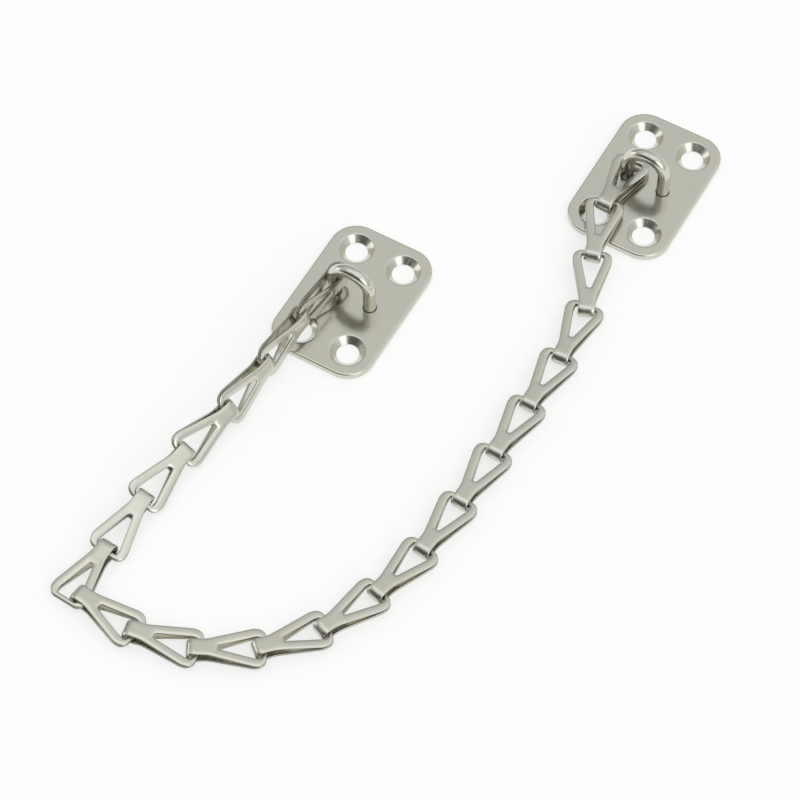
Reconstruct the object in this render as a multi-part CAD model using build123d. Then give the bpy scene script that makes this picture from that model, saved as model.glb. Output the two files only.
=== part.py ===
from build123d import *
import os
from math import asin, atan, cos, degrees, hypot, pi, radians, sin, tan

# Transom chain, in mm. The origin is the middle of the frame plate's back, and +Z points out of its face.
# The chain runs from the frame plate, round a sharp turn, to the transom plate.

# Screw plates, both alike.
PLATE_W = 25.4
PLATE_L = 38.1
PLATE_T = 1.6
CORNER_R = 6.35
EDGE_CUT = 0.4
HOLE_PITCH_X = 12.3
HOLE_PITCH_Y = 25.0
HOLE_D = 5.2
SINK_D = 8.1

# Wire eye, riveted flush through each plate.
WIRE_D = 3.0
EYE_SPAN = 9.2
LEG_STRAIGHT = 5.8
EYE_BENDS = 7

# Stamped link: two teardrop rings joined at a waist, and folded there into a hairpin.
PITCH = 14.6
STRIP_T = 0.6
FOLD_R = 1.35
MOUTH_GAP = 0.06
LINK_W = 8.9
NECK_W = 3.8
NECK_L = 4.9
NECK_FLARE = 2.5
BAR_W = 1.0
RAIL_W = 1.95
SHOULDER_L = 2.9
SHOULDER_CUT = 1.2
TIP_W = 1.0

# Running clearances.
WIRE_CLEAR = 0.35
FOLD_CLEAR = 0.06
LIE_CLEAR = 0.1

# How the chain lies: the way each link points and how far it is rolled on its side, in degrees.
DOWN_RUN_DEG = [-96, -93, -95, -102, -97, -92, -94]
TURN_DEG = [-7, 12, 31, 50, 67, 77, 85]
UP_RUN_DEG = [88, 88, 89, 95, 112, 106, 90]
HEADINGS_DEG = DOWN_RUN_DEG + TURN_DEG + UP_RUN_DEG
ROLLS_DEG = [90, 75, 60, 45, 30, 15] + [0] * 15
CORNER_LINK = 7
CORNER_BACK = 3.0
CORNER_CLEAR = 0.2
PLATE_LIFT = 0.8
RING_LIE = 1.0
RING_SLACK = 1.5
EYE_SLACK = 1.5
SIDE_SHARE = 0.18

FOLD_OUT = FOLD_R + STRIP_T
EYE_FOLD_R = WIRE_D / 2 + WIRE_CLEAR
LINK_END = PITCH + BAR_W / 2
BAR_THICK = 2 * STRIP_T + MOUTH_GAP
RING_REACH = PITCH - BAR_W / 2 - WIRE_D / 2 - RING_SLACK
TAPER = (LINK_W - NECK_W) / 2 / (LINK_END - SHOULDER_L - NECK_FLARE)


def plate():
    """One screw plate, its back at the origin: four countersunk holes and two for the eye's legs."""
    body = extrude(RectangleRounded(PLATE_W, PLATE_L, CORNER_R), PLATE_T)
    body = chamfer(body.faces().sort_by(Axis.Z)[-1].outer_wire().edges(), EDGE_CUT)
    sink_depth = (SINK_D - HOLE_D) / 2
    bore = Cylinder(HOLE_D / 2, 2 * PLATE_T)
    sink = Pos(0, 0, PLATE_T - sink_depth / 2) * Cone(HOLE_D / 2, SINK_D / 2, sink_depth)
    for spot in GridLocations(HOLE_PITCH_X, HOLE_PITCH_Y, 2, 2).locations:
        body -= spot * (bore + sink)
    for spot in GridLocations(EYE_SPAN, 0, 2, 1).locations:
        body -= spot * Cylinder(WIRE_D / 2, 2 * PLATE_T)
    return body


def eye():
    """The wire eye: two legs, flush with the plate's back, and a half-round top in short straights."""
    half, top = EYE_SPAN / 2, PLATE_T + LEG_STRAIGHT
    turns = [pi * i / EYE_BENDS for i in range(EYE_BENDS + 1)]
    arch = [(-half * cos(t), 0, top + half * sin(t)) for t in turns]
    path = Polyline((-half, 0, 0), *arch, (half, 0, 0))
    return sweep(Pos(-half, 0, 0) * Circle(WIRE_D / 2), path=path, transition=Transition.RIGHT)


def lean(fold_r):
    """Angle of each layer to the link's middle plane, so that the layers nearly meet at the wide end."""
    reach = hypot(LINK_END, MOUTH_GAP / 2)
    return asin(fold_r / reach) - atan(MOUTH_GAP / 2 / LINK_END)


def half_gap(x, fold_r):
    """Half the space between the two layers at a distance x from the fold's centre."""
    return fold_r / cos(lean(fold_r)) - x * tan(lean(fold_r))


def hairpin(radius, fold_r):
    """Side face of the folded strip out to one radius round the fold: a disc and its two tangent sides."""
    angle, far = lean(fold_r), LINK_END
    touch = (radius * sin(angle), radius * cos(angle))
    drop = (far - touch[0]) * tan(angle)
    wedge = [touch, (far, touch[1] - drop), (far, drop - touch[1]), (touch[0], -touch[1])]
    return Circle(radius) + make_face(Polyline(*wedge, close=True))


def mirrored(points):
    """A closed face from the points of its upper side, taken from the fold to the wide end."""
    return make_face(Polyline(*points, *[(x, -y) for x, y in reversed(points)], close=True))


def outline(fold_r):
    """Plan of the link from above: a straight neck, spreading sides and cut shoulders."""
    start, widest = -2 * (fold_r + STRIP_T), LINK_END - SHOULDER_L
    neck, wide = NECK_W / 2, LINK_W / 2
    shoulder = [(widest, wide), (LINK_END - SHOULDER_CUT, wide), (LINK_END, wide - SHOULDER_CUT)]
    return mirrored([(start, neck), (NECK_FLARE, neck), *shoulder])


def opening():
    """The teardrop hole in plan: its tip by the neck, its straight end at the crossbar."""
    bar, wide = PITCH - BAR_W / 2, LINK_W / 2 - RAIL_W
    side = NECK_L + (wide - TIP_W / 2) / TAPER
    return mirrored([(NECK_L, TIP_W / 2), (side, wide), (bar, wide)])


def link(fold_r):
    """One folded link, its fold's axis along Y through the origin and its wide end along +X."""
    side = hairpin(fold_r + STRIP_T, fold_r) - hairpin(fold_r, fold_r)
    strip = extrude(Plane.XZ * side, LINK_W / 2, both=True)
    tall = 2 * (fold_r + STRIP_T)
    return strip & extrude(outline(fold_r), tall, both=True) - extrude(opening(), tall, both=True)


def axes(heading, slope, roll):
    """A link's own X, Y and Z directions: along it, across it and out of its face."""
    h, r = radians(heading), radians(roll)
    x = Vector(cos(slope) * cos(h), cos(slope) * sin(h), sin(slope))
    level = Vector(-sin(h), cos(h), 0)
    up = x.cross(level)
    return x, level * cos(r) - up * sin(r), up * cos(r) + level * sin(r)


def lie_height(k):
    """Height of the joint after link k above the floor, from its wide end and the next fold."""
    a, b = radians(ROLLS_DEG[k]), radians(ROLLS_DEG[k + 1])
    wide = LINK_W / 2 * sin(a) + BAR_THICK / 2 * cos(a)
    fold = NECK_W / 2 * sin(b) + FOLD_OUT * cos(b)
    return max(wide, fold)


def edge_crossing():
    """How far along the last link but one its leading side passes over the transom plate's edge."""
    heading = radians(HEADINGS_DEG[-2])
    back = PLATE_L / 2 - RING_REACH * sin(radians(HEADINGS_DEG[-1]))
    return PITCH - (back + LINK_W / 2 * abs(cos(heading))) / sin(heading)


def joint_heights():
    """Heights of the joints: over the frame plate, along the floor and over the other plate's edge."""
    lifted = len(HEADINGS_DEG) - 3
    heights = [PLATE_T + LINK_W / 2 + LIE_CLEAR]
    heights += [lie_height(k) for k in range(1, lifted)]
    heights[1] += PLATE_LIFT
    on_plate = PLATE_T + FOLD_OUT + LIE_CLEAR
    edge = edge_crossing()
    over_edge = PLATE_T + half_gap(edge, FOLD_R) + STRIP_T + LIE_CLEAR
    before_edge = (over_edge * PITCH - on_plate * edge) / (PITCH - edge)
    heights += [max(lie_height(lifted), before_edge), on_plate]
    heights.append(PLATE_T + BAR_THICK / 2 + RING_LIE)
    return heights


def seat(k):
    """Where link k carries the next fold, in its own frame: point, yaw of the bar and its radius."""
    if k + 1 == CORNER_LINK:
        x = LINK_END - CORNER_BACK
        y = LINK_W / 2 - RAIL_W / 2 - (LINK_END - SHOULDER_L - x) * TAPER
        yaw = 90 + degrees(atan(TAPER))
        thick = half_gap(x - NECK_W / 2, FOLD_R) + STRIP_T
        return Vector(x, y, 0), yaw, hypot(RAIL_W / 2, thick) + CORNER_CLEAR
    return Vector(PITCH, 0, 0), 0, hypot(BAR_W, BAR_THICK) / 2


def chain():
    """Each link's frame, and each joint's point and axis, from the frame plate to the transom plate."""
    heights = joint_heights()
    frames, joints = [], []
    spot, axis = Vector(-EYE_SPAN / 2, 0, heights[0]), Vector(0, 0, 1)
    set_back, shift = EYE_SLACK, Vector(0, 0, 0)
    for k, heading in enumerate(HEADINGS_DEG):
        last = k + 1 == len(HEADINGS_DEG)
        reach = RING_REACH if last else PITCH
        slope = asin((heights[k] - spot.Z) / (reach - set_back))
        x, y, z = axes(heading, slope, ROLLS_DEG[k])
        origin = spot + shift - x * set_back
        frames.append(Plane(origin=origin, x_dir=x, z_dir=z))
        joints.append((spot, axis))
        if last:
            joints.append((origin + x * reach, Vector(0, 0, 1)))
            break
        point, bar_yaw, bar_r = seat(k)
        spot = origin + x * point.X + y * point.Y
        axis = y * cos(radians(bar_yaw)) - x * sin(radians(bar_yaw))
        askew = radians(HEADINGS_DEG[k + 1] - heading - bar_yaw)
        twist = radians(ROLLS_DEG[k + 1] - ROLLS_DEG[k]) if bar_yaw == 0 else 0.0
        set_back = NECK_W / 2 * hypot(tan(askew), tan(twist)) + max(0.0, bar_r + FOLD_CLEAR - FOLD_R)
        shift = axis * (SIDE_SHARE * (FOLD_OUT + set_back) * sin(askew) if bar_yaw == 0 else 0.0)
    return frames, joints


frames, joints = chain()
leg = joints[-1][0]
far_end = Pos(leg.X + EYE_SPAN / 2, leg.Y, 0)
plain_link, eye_link = link(FOLD_R), link(EYE_FOLD_R)
screw_plate, wire_eye = plate(), eye()

nodes = {"frame_plate": screw_plate, "frame_eye": wire_eye}
for k, frame in enumerate(frames):
    nodes[f"link_{k + 1:02d}"] = frame.location * (eye_link if k == 0 else plain_link)
nodes["transom_plate"] = far_end * screw_plate
nodes["transom_eye"] = far_end * wire_eye

os.makedirs("parts", exist_ok=True)
for name, shape in nodes.items():
    export_step(shape, f"parts/{name}.step")
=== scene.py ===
import bpy
import bmesh
import numpy as np
from math import acos, asin, atan, cos, hypot, pi, radians, sin, tan
from mathutils import Matrix, Vector


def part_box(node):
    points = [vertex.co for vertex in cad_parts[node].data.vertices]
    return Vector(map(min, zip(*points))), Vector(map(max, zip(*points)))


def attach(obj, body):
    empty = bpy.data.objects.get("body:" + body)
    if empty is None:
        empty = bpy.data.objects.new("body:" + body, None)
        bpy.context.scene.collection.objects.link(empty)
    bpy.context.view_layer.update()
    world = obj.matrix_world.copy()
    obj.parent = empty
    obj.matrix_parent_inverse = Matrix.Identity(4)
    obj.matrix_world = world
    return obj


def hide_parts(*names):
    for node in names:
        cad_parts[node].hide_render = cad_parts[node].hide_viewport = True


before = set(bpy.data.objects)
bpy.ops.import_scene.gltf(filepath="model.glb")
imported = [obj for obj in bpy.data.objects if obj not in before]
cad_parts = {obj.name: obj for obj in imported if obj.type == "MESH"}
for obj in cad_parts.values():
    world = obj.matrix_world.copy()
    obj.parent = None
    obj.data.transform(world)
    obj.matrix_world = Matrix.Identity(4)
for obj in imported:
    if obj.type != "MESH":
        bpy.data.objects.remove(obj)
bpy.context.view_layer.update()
mm = 0.001
print("frame loaded,", len(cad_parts), "nodes")


# small helpers for node trees
def addNode(tree, kind, **settings):
    node = tree.nodes.new(kind)
    for key, value in settings.items():
        setattr(node, key, value)
    return node


def join(tree, source, target):
    tree.links.new(source, target)


def mathNode(tree, operation, a, b=None):
    node = addNode(tree, "ShaderNodeMath", operation=operation)
    for socket, value in zip(node.inputs, (a, b)):
        if value is None:
            continue
        if isinstance(value, (int, float)):
            socket.default_value = value
        else:
            join(tree, value, socket)
    return node.outputs[0]


def newGroup(kind, name, inputs, outputs):
    tree = bpy.data.node_groups.new(name, kind)
    for label, socketType, value in inputs:
        socket = tree.interface.new_socket(label, in_out="INPUT", socket_type=socketType)
        if value is not None:
            socket.default_value = value
    for label, socketType in outputs:
        tree.interface.new_socket(label, in_out="OUTPUT", socket_type=socketType)
    return tree, addNode(tree, "NodeGroupInput"), addNode(tree, "NodeGroupOutput")


# plating: slow ripple, fine haze and faint tone drift, shared by all nickel finishes
platingLook = {"rippleDetail": 1.5, "hazeDetail": 4.0, "hazeScale": 2500.0, "hazeRange": (0.3, 0.7)}


def platingGroup():
    k = platingLook
    tree, source, sink = newGroup("ShaderNodeTree", "plating", [
        ("Tone", "NodeSocketColor", (0.7, 0.69, 0.64, 1)),
        ("Drift", "NodeSocketFloat", 0.06),
        ("Ripple Scale", "NodeSocketFloat", 180.0),
        ("Haze Scale", "NodeSocketFloat", k["hazeScale"]),
        ("Gloss Low", "NodeSocketFloat", 0.14),
        ("Gloss High", "NodeSocketFloat", 0.24),
    ], [("Colour", "NodeSocketColor"), ("Roughness", "NodeSocketFloat"), ("Height", "NodeSocketFloat")])
    coords = addNode(tree, "ShaderNodeTexCoord").outputs["Object"]

    def noise(scale, detail):
        node = addNode(tree, "ShaderNodeTexNoise")
        node.inputs["Detail"].default_value = detail
        join(tree, coords, node.inputs["Vector"])
        join(tree, source.outputs[scale], node.inputs["Scale"])
        return node.outputs["Fac"]

    ripple = noise("Ripple Scale", k["rippleDetail"])
    haze = noise("Haze Scale", k["hazeDetail"])
    # tone drifts a little lighter and darker with the ripple
    shade = mathNode(tree, "SUBTRACT", ripple, 0.5)
    shade = mathNode(tree, "MULTIPLY", shade, source.outputs["Drift"])
    shade = mathNode(tree, "ADD", shade, 1.0)
    tinted = addNode(tree, "ShaderNodeVectorMath", operation="SCALE")
    join(tree, source.outputs["Tone"], tinted.inputs[0])
    join(tree, shade, tinted.inputs["Scale"])
    join(tree, tinted.outputs[0], sink.inputs["Colour"])
    gloss = addNode(tree, "ShaderNodeMapRange")
    join(tree, haze, gloss.inputs["Value"])
    gloss.inputs["From Min"].default_value = k["hazeRange"][0]
    gloss.inputs["From Max"].default_value = k["hazeRange"][1]
    join(tree, source.outputs["Gloss Low"], gloss.inputs["To Min"])
    join(tree, source.outputs["Gloss High"], gloss.inputs["To Max"])
    join(tree, gloss.outputs["Result"], sink.inputs["Roughness"])
    join(tree, ripple, sink.inputs["Height"])
    return tree


# gloss is the roughness from clear to hazy, and wave the strength of the ripple's bump; the other two are the
# darkened tone, a painted shade, and the roughness where the piece's polish and shade attribute is low
finishes = {
    "platePlating": {"tone": (0.66, 0.655, 0.575, 1), "drift": 0.08, "ripple": 70.0,
                     "gloss": (0.15, 0.22), "wave": 0.03},
    "wirePlating": {"tone": (0.66, 0.655, 0.575, 1), "drift": 0.06, "ripple": 160.0,
                    "gloss": (0.10, 0.17), "wave": 0.03, "shadedTone": 0.45, "dullGloss": 0.3},
    "linkPlating": {"tone": (0.66, 0.655, 0.575, 1), "drift": 0.12, "ripple": 120.0,
                    "gloss": (0.16, 0.26), "wave": 0.06, "shadedTone": 0.25, "dullGloss": 0.45},
}
waveDepth = 0.002      # depth of the ripple's bump at full strength, in metres


def nickel(name):
    look = finishes[name]
    mat = bpy.data.materials.new(name)
    mat.use_nodes = True
    tree = mat.node_tree
    shader = tree.nodes["Principled BSDF"]
    shader.inputs["Metallic"].default_value = 1.0
    group = addNode(tree, "ShaderNodeGroup", node_tree=plating)
    group.inputs["Tone"].default_value = look["tone"]
    group.inputs["Drift"].default_value = look["drift"]
    group.inputs["Ripple Scale"].default_value = look["ripple"]
    group.inputs["Gloss Low"].default_value = look["gloss"][0]
    group.inputs["Gloss High"].default_value = look["gloss"][1]
    bump = addNode(tree, "ShaderNodeBump")
    bump.inputs["Strength"].default_value = look["wave"]
    bump.inputs["Distance"].default_value = waveDepth
    colour, rough = group.outputs["Colour"], group.outputs["Roughness"]
    if "shadedTone" in look:      # painted shade: darker, and also rougher, where the piece's polish and shade attribute is low
        polishAndShade = addNode(tree, "ShaderNodeAttribute", attribute_name="polishAndShade").outputs["Fac"]
        fade = addNode(tree, "ShaderNodeMapRange")
        fade.inputs["To Min"].default_value = look["shadedTone"]
        join(tree, polishAndShade, fade.inputs["Value"])
        dimmed = addNode(tree, "ShaderNodeVectorMath", operation="SCALE")
        join(tree, colour, dimmed.inputs[0])
        join(tree, fade.outputs["Result"], dimmed.inputs["Scale"])
        colour = dimmed.outputs[0]
        matte = addNode(tree, "ShaderNodeMapRange")
        matte.inputs["To Min"].default_value = look["dullGloss"]
        join(tree, polishAndShade, matte.inputs["Value"])
        join(tree, rough, matte.inputs["To Max"])
        rough = matte.outputs["Result"]
    join(tree, colour, shader.inputs["Base Color"])
    join(tree, rough, shader.inputs["Roughness"])
    join(tree, group.outputs["Height"], bump.inputs["Height"])
    join(tree, bump.outputs["Normal"], shader.inputs["Normal"])
    return mat


plating = platingGroup()
materials = {name: nickel(name) for name in finishes}
print("nickel finishes made")


# hairpin path: a bend about the origin with two straight sides that lean together
def hairpinGroup():
    tree, source, sink = newGroup("GeometryNodeTree", "hairpin", [
        ("Along", "NodeSocketFloat", 0.0),
        ("Out", "NodeSocketFloat", 0.0),
        ("Radius", "NodeSocketFloat", 0.0016),
        ("Lean", "NodeSocketFloat", 0.0),
    ], [("X", "NodeSocketFloat"), ("Z", "NodeSocketFloat")])
    along, out = source.outputs["Along"], source.outputs["Out"]
    radius, lean = source.outputs["Radius"], source.outputs["Lean"]
    length = mathNode(tree, "ABSOLUTE", along)
    side = mathNode(tree, "SIGN", along)
    arc = mathNode(tree, "ADD", lean, pi / 2)
    turn = mathNode(tree, "MINIMUM", mathNode(tree, "DIVIDE", length, radius), arc)
    bent = mathNode(tree, "MULTIPLY", radius, arc)
    rest = mathNode(tree, "MAXIMUM", mathNode(tree, "SUBTRACT", length, bent), 0.0)
    reach = mathNode(tree, "ADD", radius, out)
    bendX = mathNode(tree, "MULTIPLY", reach, mathNode(tree, "COSINE", turn))
    bendZ = mathNode(tree, "MULTIPLY", reach, mathNode(tree, "SINE", turn))
    x = mathNode(tree, "SUBTRACT", mathNode(tree, "MULTIPLY", rest, mathNode(tree, "COSINE", lean)), bendX)
    z = mathNode(tree, "SUBTRACT", bendZ, mathNode(tree, "MULTIPLY", rest, mathNode(tree, "SINE", lean)))
    join(tree, x, sink.inputs["X"])
    join(tree, mathNode(tree, "MULTIPLY", z, side), sink.inputs["Z"])
    return tree


hairpin = hairpinGroup()
placeInputs = [
    ("Place", "NodeSocketVector", None),
    ("Turn", "NodeSocketVector", None),
    ("Finish", "NodeSocketMaterial", None),
]
crispAngle = radians(50)      # edges sharper than this stay crisp on links and wire


# last steps of each tree: place, smooth faces with crisp corners, real mesh, material
def closeTree(tree, source, sink, geometry):
    turn = addNode(tree, "FunctionNodeEulerToRotation")
    join(tree, source.outputs["Turn"], turn.inputs[0])
    place = addNode(tree, "GeometryNodeTransform")
    join(tree, geometry, place.inputs["Geometry"])
    join(tree, source.outputs["Place"], place.inputs["Translation"])
    join(tree, turn.outputs[0], place.inputs["Rotation"])
    smooth = addNode(tree, "GeometryNodeSetShadeSmooth", domain="FACE")
    join(tree, place.outputs[0], smooth.inputs["Geometry"])
    angle = addNode(tree, "GeometryNodeInputMeshEdgeAngle").outputs["Unsigned Angle"]
    crisp = addNode(tree, "GeometryNodeSetShadeSmooth", domain="EDGE")
    crisp.inputs["Shade Smooth"].default_value = False
    join(tree, smooth.outputs[0], crisp.inputs["Geometry"])
    join(tree, mathNode(tree, "GREATER_THAN", angle, crispAngle), crisp.inputs["Selection"])
    real = addNode(tree, "GeometryNodeRealizeInstances")
    join(tree, crisp.outputs[0], real.inputs[0])
    finish = addNode(tree, "GeometryNodeSetMaterial")
    join(tree, real.outputs[0], finish.inputs["Geometry"])
    join(tree, source.outputs["Finish"], finish.inputs["Material"])
    join(tree, finish.outputs[0], sink.inputs["Geometry"])


# folds a flat blank: its X runs along the hairpin and its Z out of the strip
def foldTree():
    tree, source, sink = newGroup("GeometryNodeTree", "foldLink", [
        ("Geometry", "NodeSocketGeometry", None),
        ("Fold Radius", "NodeSocketFloat", 0.00165),
        ("Lean", "NodeSocketFloat", 0.0),
    ] + placeInputs, [("Geometry", "NodeSocketGeometry")])
    spot = addNode(tree, "GeometryNodeInputPosition")
    split = addNode(tree, "ShaderNodeSeparateXYZ")
    join(tree, spot.outputs[0], split.inputs[0])
    path = addNode(tree, "GeometryNodeGroup", node_tree=hairpin)
    join(tree, split.outputs["X"], path.inputs["Along"])
    join(tree, split.outputs["Z"], path.inputs["Out"])
    join(tree, source.outputs["Fold Radius"], path.inputs["Radius"])
    join(tree, source.outputs["Lean"], path.inputs["Lean"])
    folded = addNode(tree, "ShaderNodeCombineXYZ")
    join(tree, path.outputs["X"], folded.inputs["X"])
    join(tree, split.outputs["Y"], folded.inputs["Y"])
    join(tree, path.outputs["Z"], folded.inputs["Z"])
    move = addNode(tree, "GeometryNodeSetPosition")
    join(tree, source.outputs["Geometry"], move.inputs["Geometry"])
    join(tree, folded.outputs[0], move.inputs["Position"])
    closeTree(tree, source, sink, move.outputs[0])
    return tree


# a round wire along an upright hairpin with parallel legs
def wireTree():
    tree, source, sink = newGroup("GeometryNodeTree", "bendWire", [
        ("Geometry", "NodeSocketGeometry", None),
        ("Wire Radius", "NodeSocketFloat", 0.0015),
        ("Bend Radius", "NodeSocketFloat", 0.0046),
        ("Half Length", "NodeSocketFloat", 0.0146),
        ("Steps", "NodeSocketInt", 65),
        ("Sides", "NodeSocketInt", 32),
    ] + placeInputs, [("Geometry", "NodeSocketGeometry")])
    line = addNode(tree, "GeometryNodeMeshLine", mode="OFFSET")
    join(tree, source.outputs["Steps"], line.inputs["Count"])
    # run along the wire from -half to +half
    index = addNode(tree, "GeometryNodeInputIndex")
    last = mathNode(tree, "SUBTRACT", source.outputs["Steps"], 1.0)
    gone = mathNode(tree, "DIVIDE", index.outputs[0], last)
    share = mathNode(tree, "SUBTRACT", mathNode(tree, "MULTIPLY", gone, 2.0), 1.0)
    path = addNode(tree, "GeometryNodeGroup", node_tree=hairpin)
    join(tree, mathNode(tree, "MULTIPLY", share, source.outputs["Half Length"]), path.inputs["Along"])
    join(tree, source.outputs["Bend Radius"], path.inputs["Radius"])
    spot = addNode(tree, "ShaderNodeCombineXYZ")
    join(tree, path.outputs["Z"], spot.inputs["X"])
    join(tree, mathNode(tree, "MULTIPLY", path.outputs["X"], -1.0), spot.inputs["Z"])
    move = addNode(tree, "GeometryNodeSetPosition")
    join(tree, line.outputs[0], move.inputs["Geometry"])
    join(tree, spot.outputs[0], move.inputs["Position"])
    curve = addNode(tree, "GeometryNodeMeshToCurve")
    join(tree, move.outputs[0], curve.inputs[0])
    ring = addNode(tree, "GeometryNodeCurvePrimitiveCircle", mode="RADIUS")
    join(tree, source.outputs["Sides"], ring.inputs["Resolution"])
    join(tree, source.outputs["Wire Radius"], ring.inputs["Radius"])
    wire = addNode(tree, "GeometryNodeCurveToMesh")
    wire.inputs["Fill Caps"].default_value = True
    join(tree, curve.outputs[0], wire.inputs["Curve"])
    join(tree, ring.outputs[0], wire.inputs["Profile Curve"])
    closeTree(tree, source, sink, wire.outputs[0])
    return tree


# the plain mesh that a mesh becomes with its modifiers and node tree
def evaluated(name, mesh, tree=None, values=(), modifiers=()):
    obj = bpy.data.objects.new(name, mesh)
    bpy.context.scene.collection.objects.link(obj)
    for kind, settings in modifiers:
        mod = obj.modifiers.new(kind, kind)
        for key, value in settings.items():
            setattr(mod, key, value)
    if tree is not None:
        mod = obj.modifiers.new(tree.name, "NODES")
        mod.node_group = tree
        ids = {item.name: item.identifier for item in tree.interface.items_tree if item.in_out == "INPUT"}
        for label, value in values:
            mod[ids[label]] = value
        weigh = obj.modifiers.new("weigh", "WEIGHTED_NORMAL")
        weigh.keep_sharp = True
    bpy.context.view_layer.update()
    made = bpy.data.meshes.new_from_object(obj.evaluated_get(bpy.context.evaluated_depsgraph_get()))
    bpy.data.objects.remove(obj)
    made.name = name
    return made


def finishPiece(name, mesh, node, body):
    obj = bpy.data.objects.new(name, mesh)
    bpy.context.scene.collection.objects.link(obj)
    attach(obj, body)
    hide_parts(node)


def vertexArray(mesh, kind):
    flat = np.zeros(len(mesh.vertices) * 3)
    mesh.vertices.foreach_get(kind, flat)
    return flat.reshape(-1, 3)


def setPolishAndShade(mesh, polishAndShade):
    mesh.attributes.new("polishAndShade", "FLOAT", "POINT").data.foreach_set("value", polishAndShade)


# a polyline with its corners rounded
def roundedPath(points, radii, arcSteps=8):
    out = [Vector(points[0])]
    for before, corner, after, radius in zip(points, points[1:], points[2:], radii):
        corner = Vector(corner)
        a, b = (Vector(before) - corner).normalized(), (Vector(after) - corner).normalized()
        half = acos(max(-1.0, min(1.0, a.dot(b)))) / 2
        cut = radius / tan(half)
        centre = corner + (a + b).normalized() * (radius / sin(half))
        start, end = corner + a * cut - centre, corner + b * cut - centre
        sweep = start.angle_signed(end)
        for i in range(arcSteps + 1):
            t = -sweep * i / arcSteps
            x = start.x * cos(t) - start.y * sin(t)
            y = start.x * sin(t) + start.y * cos(t)
            out.append(centre + Vector((x, y)))
    return out + [Vector(points[-1])]


# a polyline spread into even steps
def evenSteps(path, count):
    pts = np.array([tuple(p) for p in path])
    gone = np.concatenate([[0], np.cumsum(np.linalg.norm(np.diff(pts, axis=0), axis=1))])
    want = np.linspace(0, gone[-1], count + 1)
    return [(np.interp(w, gone, pts[:, 0]), np.interp(w, gone, pts[:, 1])) for w in want]


# stamped link: flat blank first, then folded by the tree; sizes in mm
linkLook = {
    "pitch": 14.6, "strip": 0.6, "foldRadius": 1.35, "eyeFoldRadius": 1.85, "mouthGap": 0.06,
    "width": 8.9, "neck": 3.8, "neckFlare": 2.5, "neckLength": 4.9, "bar": 1.0, "rail": 1.95,
    "shoulder": 2.9, "shoulderRadius": 2.0, "sideRadius": 3.0, "flareRadius": 8.0,
    "tip": 1.0, "tipRadius": 0.45, "tipSkew": 1.5, "innerSideRadius": 2.0, "innerRadius": 0.5,
    "edge": 0.18, "edgeSteps": 4, "edgeAngle": radians(60), "crown": 0.2, "crownReach": 0.85,
    # polish and painted shade by the way a place faces before folding: inside, cut edges, outer face; a low
    # value paints a place darker as shade and makes it rougher
    "facing": (-0.6, -0.3, 0.3, 0.6), "polishAndShade": (1.0, 0.12, 0.12, 1.0),
    # how far round the corners the rails end and the crossbar starts
    "shoulderTurn": pi / 8, "innerTurn": pi / 4,
    "railSteps": 44, "barSteps": 18, "foldSteps": 28, "across": 4, "rimSteps": (400, 300),
}


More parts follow.
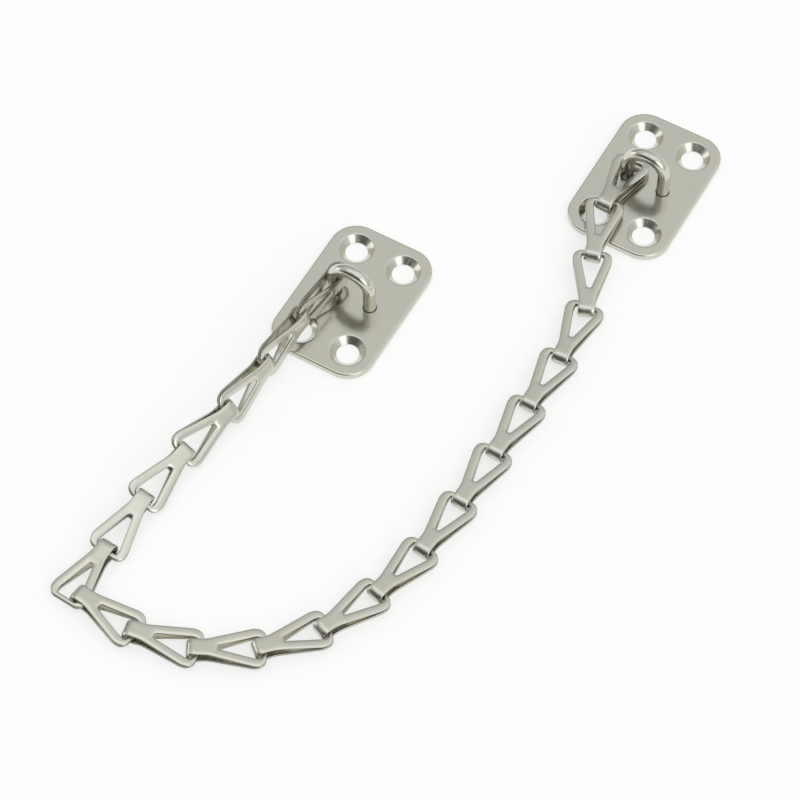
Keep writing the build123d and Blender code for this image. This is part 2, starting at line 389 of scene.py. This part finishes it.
def linkBlank(foldRadius):
    k = linkLook
    end = k["pitch"] + k["bar"] / 2
    lean = asin(foldRadius / hypot(end, k["mouthGap"] / 2)) - atan(k["mouthGap"] / 2 / end)
    middle = foldRadius + k["strip"] / 2
    arc = middle * (pi / 2 + lean)

    def along(x):      # distance along the strip of a place in plan
        return arc + (x - middle * sin(lean)) / cos(lean)

    neck, wide = k["neck"] / 2, k["width"] / 2
    widest = end - k["shoulder"]
    taper = (wide - neck) / (widest - k["neckFlare"])
    barIn, innerWide = k["pitch"] - k["bar"] / 2, wide - k["rail"]
    sideEnd = k["neckLength"] + (innerWide - k["tip"] / 2) / taper
    tip, inEnd, outEnd = along(k["neckLength"]), along(barIn), along(end)
    outer = roundedPath(
        [(0.0, neck), (along(k["neckFlare"]), neck), (along(widest), wide), (outEnd, wide), (outEnd, 0.0)],
        [k["flareRadius"], k["sideRadius"], k["shoulderRadius"]])
    inner = roundedPath(
        [(tip, 0.0), (tip, k["tip"] / 2), (along(sideEnd), innerWide), (inEnd, innerWide), (inEnd, 0.0)],
        [k["tipRadius"], k["innerSideRadius"], k["innerRadius"]])
    # cut the outline behind the opening's tip and both lines at the shoulder, so that rows fan round corners
    cut = tip - k["tipSkew"]
    split = next(i for i, p in enumerate(outer) if p.x > cut)
    share = (cut - outer[split - 1].x) / (outer[split].x - outer[split - 1].x)
    onTip = outer[split - 1].lerp(outer[split], share)
    neckLine, ringLine = outer[:split] + [onTip], [onTip] + outer[split:]

    def shoulderCut(line, x):
        i = next(i for i, p in enumerate(line) if p.x > x)
        return line[:i + 1], line[i:]

    outSide, outBar = shoulderCut(ringLine, along(end - k["shoulderRadius"] * (1 - cos(k["shoulderTurn"]))))
    inSide, inBar = shoulderCut(inner, along(barIn - k["innerRadius"] * (1 - cos(k["innerTurn"]))))
    outRing = evenSteps(outSide, k["railSteps"]) + evenSteps(outBar, k["barSteps"])[1:]
    inRing = evenSteps(inSide, k["railSteps"]) + evenSteps(inBar, k["barSteps"])[1:]
    bm = bmesh.new()
    spots = {}

    def vert(x, y):
        key = (round(x, 4), round(y, 4))
        if key not in spots:
            spots[key] = bm.verts.new((x * mm, y * mm, 0.0))
        return spots[key]

    neckRow = evenSteps(neckLine, k["foldSteps"])
    stretch = (tip - arc) / (cut - arc)
    inLine = [(x + max(0.0, x - arc) * (stretch - 1), 0.0) for x, y in neckRow[:-1]] + inRing
    outLine = neckRow[:-1] + outRing
    rows = [np.array(inLine) * (1 - u) + np.array(outLine) * u for u in np.linspace(0, 1, k["across"] + 1)]
    for sx in (1, -1):
        for sy in (1, -1):
            for row, (low, high) in enumerate(zip(rows, rows[1:])):
                spans = [(i, i + 1) for i in range(len(low) - 1)]
                if row == 0:      # one face behind the tip, so that only the middle line meets it
                    n = k["foldSteps"]
                    spans[n - 1:n + 1] = [(n - 1, n, n + 1)]
                for span in spans:
                    corners = [low[i] for i in span] + [high[i] for i in reversed(span)]
                    face = []
                    for x, y in corners:
                        v = vert(sx * x, sy * y)
                        if v not in face:
                            face.append(v)
                    bm.faces.new(face if sx * sy > 0 else face[::-1])
    mesh = bpy.data.meshes.new("blank")
    bmesh.ops.recalc_face_normals(bm, faces=bm.faces)
    bm.to_mesh(mesh)
    bm.free()
    blank = evaluated("blank", mesh, modifiers=[
        ("SOLIDIFY", {"thickness": k["strip"] * mm, "offset": 0.0}),
        ("BEVEL", {"width": k["edge"] * mm, "segments": k["edgeSteps"], "limit_method": "ANGLE",
                   "angle_limit": k["edgeAngle"], "use_clamp_overlap": False}),
    ])
    # tumbling polishes both faces and the cut edges least, which leaves the cut edges rougher; they are also
    # painted darker as shade
    setPolishAndShade(blank, np.interp(vertexArray(blank, "normal")[:, 2], k["facing"], k["polishAndShade"]))
    # the outer face falls away a little towards every cut edge
    co = vertexArray(blank, "co")
    rim = np.array(evenSteps(outer, k["rimSteps"][0]) + evenSteps(inner, k["rimSteps"][1])) * mm
    near = np.array([np.hypot(*(rim - spot).T).min() for spot in np.abs(co[:, :2])])
    drop = k["crown"] * np.clip(1 - near / (k["crownReach"] * mm), 0, 1) ** 2
    co[:, 2] -= np.maximum(co[:, 2], 0) / (k["strip"] / 2) * drop
    blank.vertices.foreach_set("co", co.ravel())
    return blank, middle * mm, lean


endShare = 0.15      # part of a link's length that counts as its fold or its crossbar


# a link's own place and turn, from where its surface lies
def linkPlace(node, foldRadius):
    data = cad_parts[node].data
    co = vertexArray(data, "co")
    tri = np.array([co[list(p.vertices)[:3]] for p in data.polygons])
    a, b, c = tri[:, 0], tri[:, 1], tri[:, 2]
    area = np.linalg.norm(np.cross(b - a, c - a), axis=1) / 2
    mids = np.concatenate([(a + b) / 2, (b + c) / 2, (c + a) / 2])
    weight = np.concatenate([area] * 3) / 3
    centre = (mids * weight[:, None]).sum(0) / weight.sum()
    off = mids - centre
    axes = np.linalg.eigh((off * weight[:, None]).T @ off)[1][:, ::-1].T
    x, y = axes[0], axes[1]
    # the fold is narrow across and the crossbar is wide
    far = co @ x
    tail = co[far < far.min() + endShare * np.ptp(far)] @ y
    head = co[far > far.max() - endShare * np.ptp(far)] @ y
    if np.ptp(tail) > np.ptp(head):
        x = -x
    z = np.cross(x, y)
    if z[2] < 0:
        y, z = -y, -z
    own = np.array([x, y, z])
    ends = co @ own.T
    low, high = ends.min(0), ends.max(0)
    spot = (low + high) / 2
    spot[0] = low[0] + (foldRadius + linkLook["strip"]) * mm
    return Vector(spot @ own), Matrix(own.T.tolist()).to_euler()


fold = foldTree()
linkNames = sorted(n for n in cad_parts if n.startswith("link_"))
blanks = {r: linkBlank(r) for r in (linkLook["foldRadius"], linkLook["eyeFoldRadius"])}
for number, name in enumerate(linkNames):
    foldRadius = linkLook["eyeFoldRadius" if number == 0 else "foldRadius"]
    blank, middle, lean = blanks[foldRadius]
    place, turn = linkPlace(name, foldRadius)
    values = [("Fold Radius", middle), ("Lean", lean), ("Place", place), ("Turn", turn),
              ("Finish", materials["linkPlating"])]
    finishPiece(name + "_folded", evaluated(name + "_folded", blank, fold, values), name, name)
print("links folded:", len(linkNames))

# wire eyes, in mm; the fade pair is where the painted shade on the inside starts to fade and where full
# polish with no shade starts, from -1 on the inside of the wire to 1 on its outside
eyeLook = {"wire": 3.0, "span": 9.2, "legEnd": 7.28, "steps": 81, "sides": 36, "insideShadeFade": (-0.3, 0.5)}
wire = wireTree()
emptyMesh = bpy.data.meshes.new("empty")
for side in ("frame", "transom"):
    low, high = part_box(side + "_eye")
    place = Vector(((low.x + high.x) / 2, (low.y + high.y) / 2, eyeLook["legEnd"] * mm))
    wireRadius, bendRadius = eyeLook["wire"] / 2, eyeLook["span"] / 2
    half = pi / 2 * eyeLook["span"] / 2 + eyeLook["legEnd"]
    values = [("Wire Radius", wireRadius * mm), ("Bend Radius", bendRadius * mm), ("Half Length", half * mm),
              ("Steps", eyeLook["steps"]), ("Sides", eyeLook["sides"]), ("Place", place),
              ("Finish", materials["wirePlating"])]
    mesh = evaluated(side + "_eye_bent", emptyMesh, wire, values)
    # painted shade: the inside of the eye is darker, and also rougher
    off = (vertexArray(mesh, "co") - np.array(place)) / mm
    reach = np.where(off[:, 2] > 0, np.hypot(off[:, 0], off[:, 2]), np.abs(off[:, 0]))
    setPolishAndShade(mesh, np.interp((reach - bendRadius) / wireRadius, eyeLook["insideShadeFade"], (0.0, 1.0)))
    finishPiece(side + "_eye_bent", mesh, side + "_eye", side + "_side")
print("wire eyes bent")

# screw plates, in mm
plateLook = {
    "width": 25.4, "length": 38.1, "thick": 1.6, "corner": 6.35, "edge": 0.5, "backEdge": 0.1,
    "holePitch": (12.3, 25.0), "hole": 5.2, "boreRoll": 0.06,
    "sink": 8.1, "sinkRoll": 0.12, "sinkRollMid": 0.3, "flatRing": 0.3,
    "legs": 9.2, "legHole": 3.0, "legSink": 0.15, "legSinkDepth": 0.4,
    "cornerSteps": 16, "holeSteps": 64, "edgeSteps": 6, "crispAngle": radians(35),
}


def plateMesh(centre):
    k = plateLook
    bm = bmesh.new()

    def outlineLoop(inset, z):
        w, l, r = k["width"] / 2 - inset, k["length"] / 2 - inset, k["corner"] - inset
        loop = []
        for quarter, (sx, sy) in enumerate(((1, 1), (-1, 1), (-1, -1), (1, -1))):
            for i in range(k["cornerSteps"] + 1):
                t = pi / 2 * (quarter + i / k["cornerSteps"])
                x, y = sx * (w - r) + r * cos(t), sy * (l - r) + r * sin(t)
                loop.append(bm.verts.new((x * mm, y * mm, z * mm)))
        return loop

    def circleLoop(x, y, radius, z):
        steps = [2 * pi * i / k["holeSteps"] for i in range(k["holeSteps"])]
        return [bm.verts.new(((x + radius * cos(t)) * mm, (y + radius * sin(t)) * mm, z * mm)) for t in steps]

    def chainLoops(loops):
        for a, b in zip(loops, loops[1:]):
            for i in range(len(a)):
                j = (i + 1) % len(a)
                bm.faces.new((a[i], a[j], b[j], b[i]))

    def loopEdges(loop):
        return [bm.edges.get((a, b)) for a, b in zip(loop, loop[1:] + loop[:1])]

    thick, edge, back, flat = k["thick"], k["edge"], k["backEdge"], k["flatRing"]
    rim = [outlineLoop(back, 0.0), outlineLoop(0.0, back)]
    for i in range(k["edgeSteps"] + 1):
        t = pi / 2 * i / k["edgeSteps"]
        rim.append(outlineLoop(edge * (1 - cos(t)), thick - edge + edge * sin(t)))
    rim.append(outlineLoop(edge + flat, thick))      # keeps the face's shading flat
    chainLoops(rim)
    tops, backs = loopEdges(rim[-1]), loopEdges(rim[0])

    def makeHole(x, y, profile):
        rings = [circleLoop(x, y, radius, z) for radius, z in profile]
        chainLoops(rings)
        tops.extend(loopEdges(rings[0]))
        backs.extend(loopEdges(rings[-1]))

    # each hole from the face to the back, as radius and height
    bore, sink, leg = k["hole"] / 2, k["sink"] / 2, k["legHole"] / 2
    roll, mid, lip = k["sinkRoll"], k["sinkRoll"] * k["sinkRollMid"], k["boreRoll"]
    sinkFoot = thick - (k["sink"] - k["hole"]) / 2
    screwHole = [(sink + roll + flat, thick), (sink + roll, thick), (sink + mid, thick - mid),
                 (sink - roll, thick - roll), (bore + lip, sinkFoot + lip), (bore, sinkFoot), (bore, 0.0)]
    legHole = [(leg + k["legSink"], thick), (leg, thick - k["legSinkDepth"]), (leg, 0.0)]
    for hx in (-1, 1):
        for hy in (-1, 1):
            makeHole(hx * k["holePitch"][0] / 2, hy * k["holePitch"][1] / 2, screwHole)
    for hx in (-1, 1):
        makeHole(hx * k["legs"] / 2, 0.0, legHole)
    for edges in (tops, backs):
        bmesh.ops.triangle_fill(bm, use_beauty=True, use_dissolve=False, edges=edges)
    bmesh.ops.recalc_face_normals(bm, faces=bm.faces)
    bmesh.ops.translate(bm, verts=bm.verts, vec=centre)
    for face in bm.faces:
        face.smooth = True
    for e in bm.edges:
        if len(e.link_faces) == 2 and e.calc_face_angle(0.0) > k["crispAngle"]:
            e.smooth = False
    mesh = bpy.data.meshes.new("plate")
    bm.to_mesh(mesh)
    bm.free()
    mesh.materials.append(materials["platePlating"])
    return evaluated("plate", mesh, modifiers=[("WEIGHTED_NORMAL", {"keep_sharp": True})])


for side in ("frame", "transom"):
    low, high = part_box(side + "_plate")
    centre = Vector(((low.x + high.x) / 2, (low.y + high.y) / 2, 0.0))
    finishPiece(side + "_plate_pressed", plateMesh(centre), side + "_plate", side + "_side")
print("screw plates made")

# studio: a grey dome with a bright top and right side, darker behind the camera,
# and a white backdrop at the horizon
studio = {
    "floor": 0.5, "floorGlow": 0.6, "floorHalf": 4.0, "floorDrop": 0.0002,
    "dome": 0.38, "backdrop": 1.0, "backdropTop": (0.03, 0.06),
    # way, where it starts and is full (as the cosine of the angle from it), and what it adds
    "boxes": [
        ((0, 0, 1), 0.15, 0.95, 0.38),
        ((-0.1, -0.1, 0.99), 0.95, 0.995, 0.1),
        ((0.92, 0.28, 0.28), 0.1, 0.8, 0.25),
        ((0.72, -0.50, 0.48), 0.90, 0.98, 1.0),
        ((-0.95, -0.25, 0.15), 0.93, 0.99, 1.0),
    ],
    "shade": ((-0.1, -0.92, 0.38), 0.60, 0.95, 0.78),      # the same, but the last is what it takes away
    "lamps": {"overhead": {"size": 1.0, "power": 0.9, "at": (-0.10, -0.35, 0.95)}},
}


# what the camera, shiny metal and glass see
def shownMask(tree):
    ray = addNode(tree, "ShaderNodeLightPath")
    both = mathNode(tree, "MAXIMUM", ray.outputs["Is Camera Ray"], ray.outputs["Is Glossy Ray"])
    return mathNode(tree, "MAXIMUM", both, ray.outputs["Is Transmission Ray"])


def towards(tree, direction, way, start, end):
    dot = addNode(tree, "ShaderNodeVectorMath", operation="DOT_PRODUCT")
    join(tree, direction, dot.inputs[0])
    dot.inputs[1].default_value = Vector(way).normalized()
    soft = addNode(tree, "ShaderNodeMapRange", interpolation_type="SMOOTHSTEP")
    join(tree, dot.outputs["Value"], soft.inputs["Value"])
    soft.inputs["From Min"].default_value = start
    soft.inputs["From Max"].default_value = end
    return soft.outputs["Result"]


def buildFloor():
    mesh = bpy.data.meshes.new("floor")
    r, z = studio["floorHalf"], -studio["floorDrop"]
    mesh.from_pydata([(-r, -r, z), (r, -r, z), (r, r, z), (-r, r, z)], [], [(0, 1, 2, 3)])
    floor = bpy.data.objects.new("floor", mesh)
    bpy.context.scene.collection.objects.link(floor)
    mat = bpy.data.materials.new("paleFloor")
    mat.use_nodes = True
    tree = mat.node_tree
    tree.nodes.remove(tree.nodes["Principled BSDF"])
    diffuse = addNode(tree, "ShaderNodeBsdfDiffuse")
    diffuse.inputs["Color"].default_value = (studio["floor"],) * 3 + (1,)
    glow = addNode(tree, "ShaderNodeEmission")
    join(tree, mathNode(tree, "MULTIPLY", shownMask(tree), studio["floorGlow"]), glow.inputs["Strength"])
    both = addNode(tree, "ShaderNodeAddShader")
    join(tree, diffuse.outputs[0], both.inputs[0])
    join(tree, glow.outputs[0], both.inputs[1])
    join(tree, both.outputs[0], tree.nodes["Material Output"].inputs["Surface"])
    mesh.materials.append(mat)


def buildLight():
    world = bpy.data.worlds.new("studio")
    bpy.context.scene.world = world
    world.use_nodes = True
    tree = world.node_tree
    sky = tree.nodes["Background"]
    direction = addNode(tree, "ShaderNodeTexCoord").outputs["Generated"]
    level = studio["dome"]
    for way, start, end, gain in studio["boxes"]:
        added = mathNode(tree, "MULTIPLY", towards(tree, direction, way, start, end), gain)
        level = mathNode(tree, "ADD", added, level)
    way, start, end, cut = studio["shade"]
    dark = mathNode(tree, "MULTIPLY", towards(tree, direction, way, start, end), cut)
    level = mathNode(tree, "MULTIPLY", level, mathNode(tree, "SUBTRACT", 1.0, dark))
    # white backdrop low down, shown to the camera and to shiny metal
    start, end = studio["backdropTop"]
    low = mathNode(tree, "SUBTRACT", 1.0, towards(tree, direction, (0, 0, 1), start, end))
    low = mathNode(tree, "MULTIPLY", low, shownMask(tree))
    gap = mathNode(tree, "SUBTRACT", studio["backdrop"], level)
    join(tree, mathNode(tree, "ADD", level, mathNode(tree, "MULTIPLY", gap, low)), sky.inputs["Strength"])
    sky.inputs["Color"].default_value = (1, 1, 1, 1)
    for name, look in studio["lamps"].items():
        lamp = bpy.data.lights.new(name, "AREA")
        lamp.size, lamp.energy = look["size"], look["power"]
        obj = bpy.data.objects.new(name, lamp)
        obj.location = look["at"]
        obj.rotation_euler = (-Vector(look["at"])).to_track_quat("-Z", "Y").to_euler()
        bpy.context.scene.collection.objects.link(obj)


# place in mm, lens and sensor in Blender's mm, clip in metres
cameraLook = {
    "at": (191.2, -312.8, 544.0), "looks": (-0.2632, 0.4606, -0.8477),
    "lens": 130.2, "sensor": 36.0, "clip": (0.01, 50.0),
}


def buildCamera():
    cam = bpy.data.objects.new("camera", bpy.data.cameras.new("camera"))
    cam.data.sensor_width = cameraLook["sensor"]
    cam.data.lens = cameraLook["lens"]
    cam.data.clip_start, cam.data.clip_end = cameraLook["clip"]
    cam.location = Vector(cameraLook["at"]) * mm
    cam.rotation_euler = Vector(cameraLook["looks"]).to_track_quat("-Z", "Y").to_euler()
    bpy.context.scene.collection.objects.link(cam)
    bpy.context.scene.camera = cam


buildFloor()
buildLight()
buildCamera()
bpy.context.scene.view_settings.view_transform = "Standard"
print("studio and camera set")
